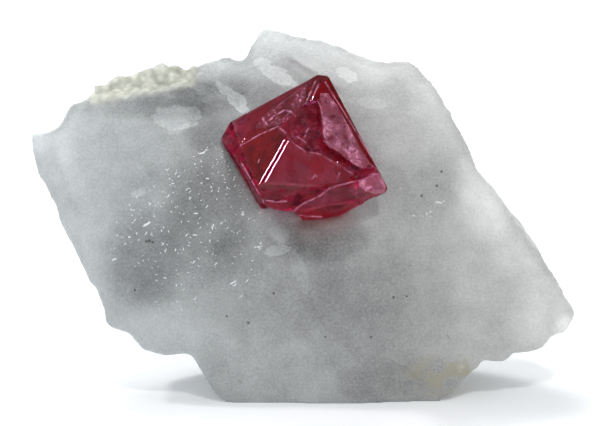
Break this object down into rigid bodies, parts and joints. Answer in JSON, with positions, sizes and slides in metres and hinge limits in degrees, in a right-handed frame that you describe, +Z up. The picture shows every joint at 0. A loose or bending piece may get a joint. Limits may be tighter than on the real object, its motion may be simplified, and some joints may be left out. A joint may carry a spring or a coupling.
{
  "type": "spinel crystal on marble",
  "caption": "A gemmy red octahedral spinel crystal set in the broken face of a pale grey marble chip, which leans back on its own flat foot",
  "frame": {"origin": "on the flat foot that the marble stands on, under the middle of the specimen's width", "axes": "+X to the right across the specimen's widest dimension, +Y away from the face that carries the crystal, +Z up"},
  "size_m": [0.04, 0.0165, 0.0255],
  "materials": {
    "marble": "fine-grained translucent grey-white calcite marble, freshly broken, slightly sugary",
    "spinel": "transparent deep pinkish red with a glassy lustre and etched patches"
  },
  "bodies": {
    "root": {"marble_matrix": "marble", "spinel_crystal": "spinel"}
  },
  "joints": []
}
